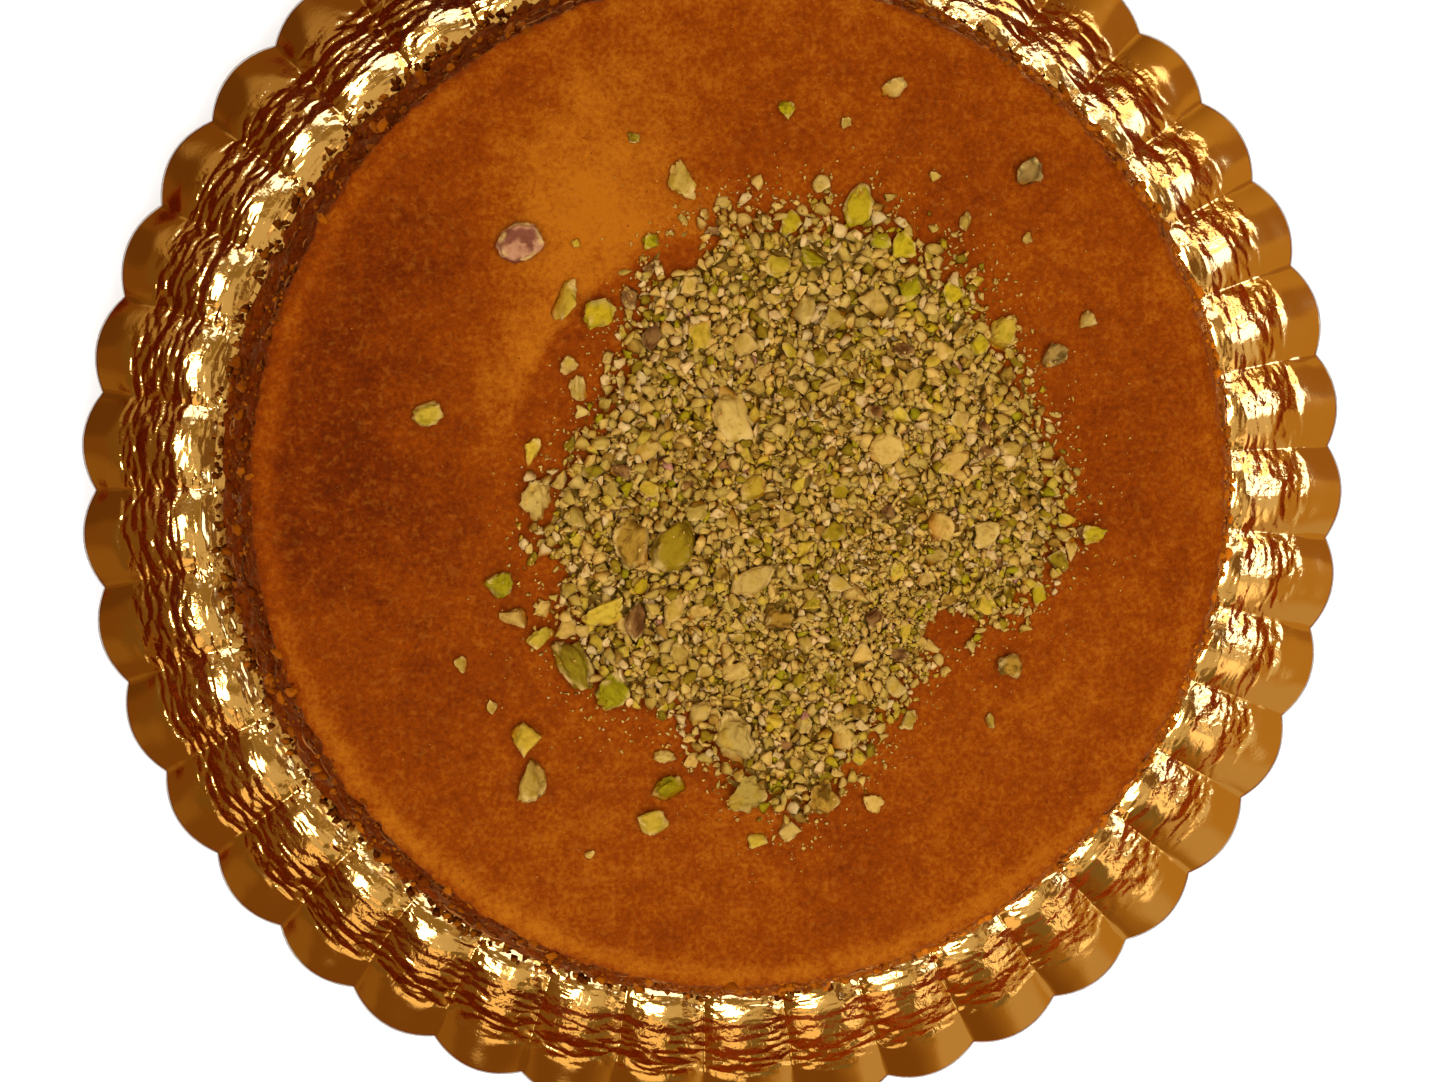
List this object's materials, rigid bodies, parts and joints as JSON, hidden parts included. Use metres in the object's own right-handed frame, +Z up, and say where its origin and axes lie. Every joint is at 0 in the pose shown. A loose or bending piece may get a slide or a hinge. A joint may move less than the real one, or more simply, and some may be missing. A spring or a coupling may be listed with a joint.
{
  "type": "cheese kunafa on a foil tray",
  "caption": "Round cheese kunafa with a browned semolina crust and a heap of chopped pistachios, on its fluted gold-foil card tray.",
  "frame": {"origin": "centre of the tray's flat underside", "axes": "+Z up through the cake; +X to the picture's right and +Y to the picture's top, as the camera looks down on it"},
  "size_m": [0.2995, 0.2996, 0.0334],
  "materials": {
    "gold_foil_card": "gloss",
    "semolina_crust": "satin",
    "chopped_pistachio": "matte"
  },
  "bodies": {
    "root": {"tray": "gold_foil_card", "kunafa": "semolina_crust", "pistachio_heap": "chopped_pistachio"}
  },
  "joints": []
}
